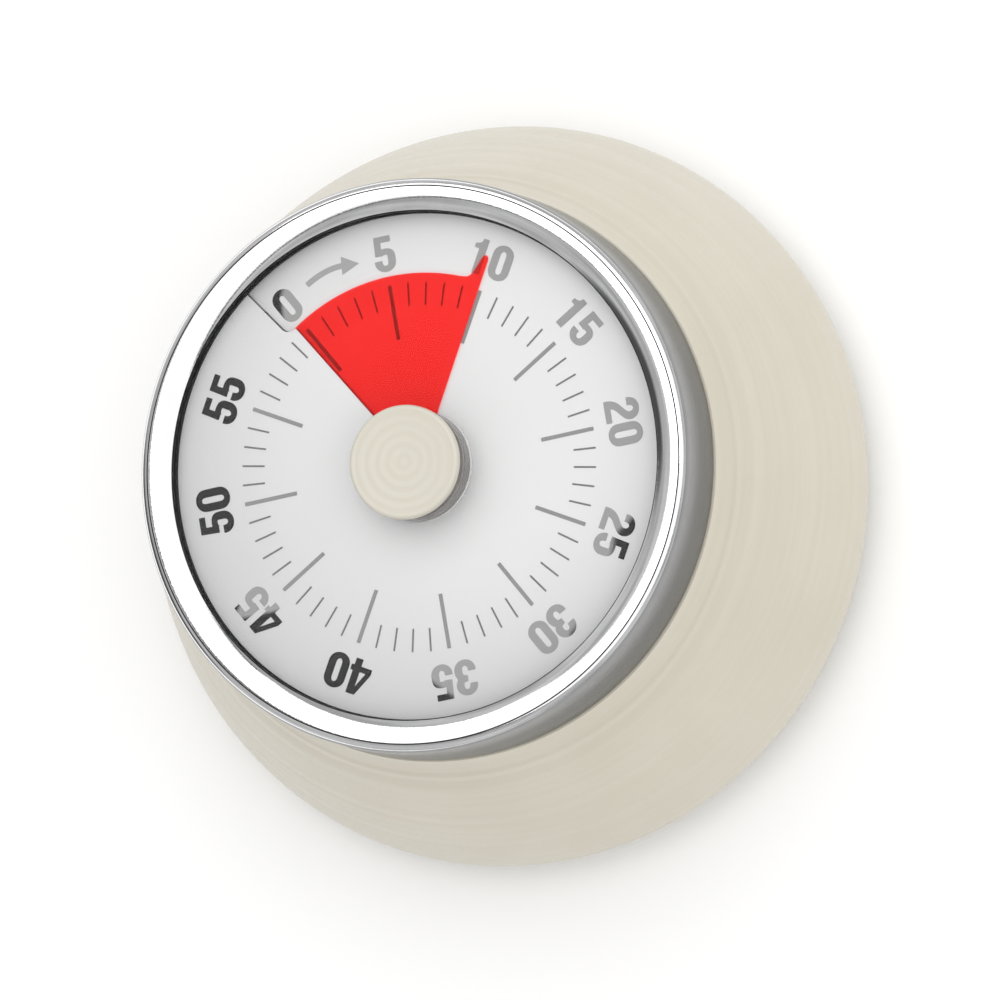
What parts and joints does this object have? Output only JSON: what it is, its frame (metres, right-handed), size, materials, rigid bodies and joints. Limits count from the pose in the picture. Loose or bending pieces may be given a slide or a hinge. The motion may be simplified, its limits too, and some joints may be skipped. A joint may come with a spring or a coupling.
{
  "type": "kitchen timer",
  "caption": "Round wind-up kitchen timer: domed cream case, metal ring, glazed minute dial, turning knob, and a red film that shows the time left.",
  "frame": {"origin": "centre of the flat back's bounding box, on the plane that the timer rests on", "axes": "+Z out of the dial, +Y towards the dial's 0 mark, +X towards its 15 mark"},
  "size_m": [0.08, 0.08, 0.0421],
  "materials": {
    "cream_enamel": "satin cream lacquer on moulded plastic",
    "satin_steel": "satin, with a bright front edge",
    "clear_plastic": "clear and polished",
    "white_print": "printed sheet, satin",
    "red_film": "translucent red film",
    "grey_plastic": "fine texture",
    "white_plastic": "plain moulding",
    "black_rubber": "matt",
    "magnet": "sintered, dark",
    "zinc_steel": "zinc plated",
    "spring_steel": "blued",
    "brass": "stamped, bright",
    "bell_steel": "nickel plated"
  },
  "bodies": {
    "case": {"back_cover": "grey_plastic", "bell": "bell_steel", "bell_post": "brass", "bell_screw": "zinc_steel", "body_shell": "cream_enamel", "carrier_screw_1": "zinc_steel", "carrier_screw_2": "zinc_steel", "carrier_screw_3": "zinc_steel", "cover_post_1": "brass", "cover_post_2": "brass", "cover_post_3": "brass", "cover_screw_1": "zinc_steel", "cover_screw_2": "zinc_steel", "cover_screw_3": "zinc_steel", "dial_carrier": "white_plastic", "dial_plate": "white_print", "foot_ring": "black_rubber", "front_plate": "brass", "front_ring": "satin_steel", "hammer_spring": "spring_steel", "lens": "clear_plastic", "magnet_1": "magnet", "magnet_2": "magnet", "mainspring": "spring_steel", "pillar_1": "zinc_steel", "pillar_2": "zinc_steel", "pillar_3": "zinc_steel", "pillar_4": "zinc_steel", "pillar_nut_1": "zinc_steel", "pillar_nut_2": "zinc_steel", "pillar_nut_3": "zinc_steel", "pillar_nut_4": "zinc_steel", "rear_plate": "brass"},
    "knob": {"knob_cap": "cream_enamel", "knob_sleeve": "satin_steel", "main_arbor": "zinc_steel", "ratchet_wheel": "zinc_steel", "strike_cam": "zinc_steel"},
    "film": {"red_film": "red_film", "film_hub": "grey_plastic"},
    "great": {"great_wheel": "brass", "click_stud": "zinc_steel", "click_spring": "spring_steel"},
    "click": {"click": "zinc_steel"},
    "second": {"second_pinion": "zinc_steel", "second_wheel": "brass"},
    "third": {"third_pinion": "zinc_steel", "third_wheel": "brass"},
    "escape": {"escape_pinion": "zinc_steel", "escape_wheel": "brass"},
    "balance": {"balance_arbor": "zinc_steel", "balance_wheel": "brass", "pallet_lever": "zinc_steel"},
    "hammer": {"hammer_arbor": "zinc_steel", "hammer_arm": "zinc_steel", "hammer_head": "brass", "strike_lever": "zinc_steel"}
  },
  "joints": [
    {"name": "knob_turn", "type": "hinge", "parent": "case", "child": "knob", "pos_m": [0, 0, 0.041], "axis": [0, 0, -1], "range_deg": [-60, 300]},
    {"name": "film_lift", "type": "slide", "parent": "knob", "child": "film", "axis": [0, 0, 1], "range_m": [-0.0001, 0.0005]},
    {"name": "great_turn", "type": "hinge", "parent": "case", "child": "great", "pos_m": [0, 0, 0.025], "axis": [0, 0, -1], "continuous": true},
    {"name": "click_swing", "type": "hinge", "parent": "great", "child": "click", "pos_m": [0.00766, 0.00643, 0.0236], "axis": [0, 0, 1], "range_deg": [0, 10]},
    {"name": "second_turn", "type": "hinge", "parent": "case", "child": "second", "pos_m": [-0.01228, 0.00709, 0.025], "axis": [0, 0, -1], "continuous": true},
    {"name": "third_turn", "type": "hinge", "parent": "case", "child": "third", "pos_m": [-0.01401, -0.00274, 0.025], "axis": [0, 0, -1], "continuous": true},
    {"name": "escape_turn", "type": "hinge", "parent": "case", "child": "escape", "pos_m": [-0.01108, -0.0108, 0.025], "axis": [0, 0, -1], "continuous": true},
    {"name": "balance_swing", "type": "hinge", "parent": "case", "child": "balance", "pos_m": [-0.0051, -0.01359, 0.025], "axis": [0, 0, -1], "range_deg": [-8, 8]},
    {"name": "hammer_swing", "type": "hinge", "parent": "case", "child": "hammer", "pos_m": [0.0127, -0.00889, 0.02], "axis": [0, 0, -1], "range_deg": [-16, 4.5]}
  ],
  "couplings": [
    {"joint": "film_lift", "follows": "knob_turn", "m_per_rad": 0.000095493},
    {"joint": "great_turn", "follows": "knob_turn", "ratio": 1},
    {"joint": "second_turn", "follows": "knob_turn", "ratio": -6},
    {"joint": "third_turn", "follows": "knob_turn", "ratio": 36},
    {"joint": "escape_turn", "follows": "knob_turn", "ratio": -216}
  ]
}
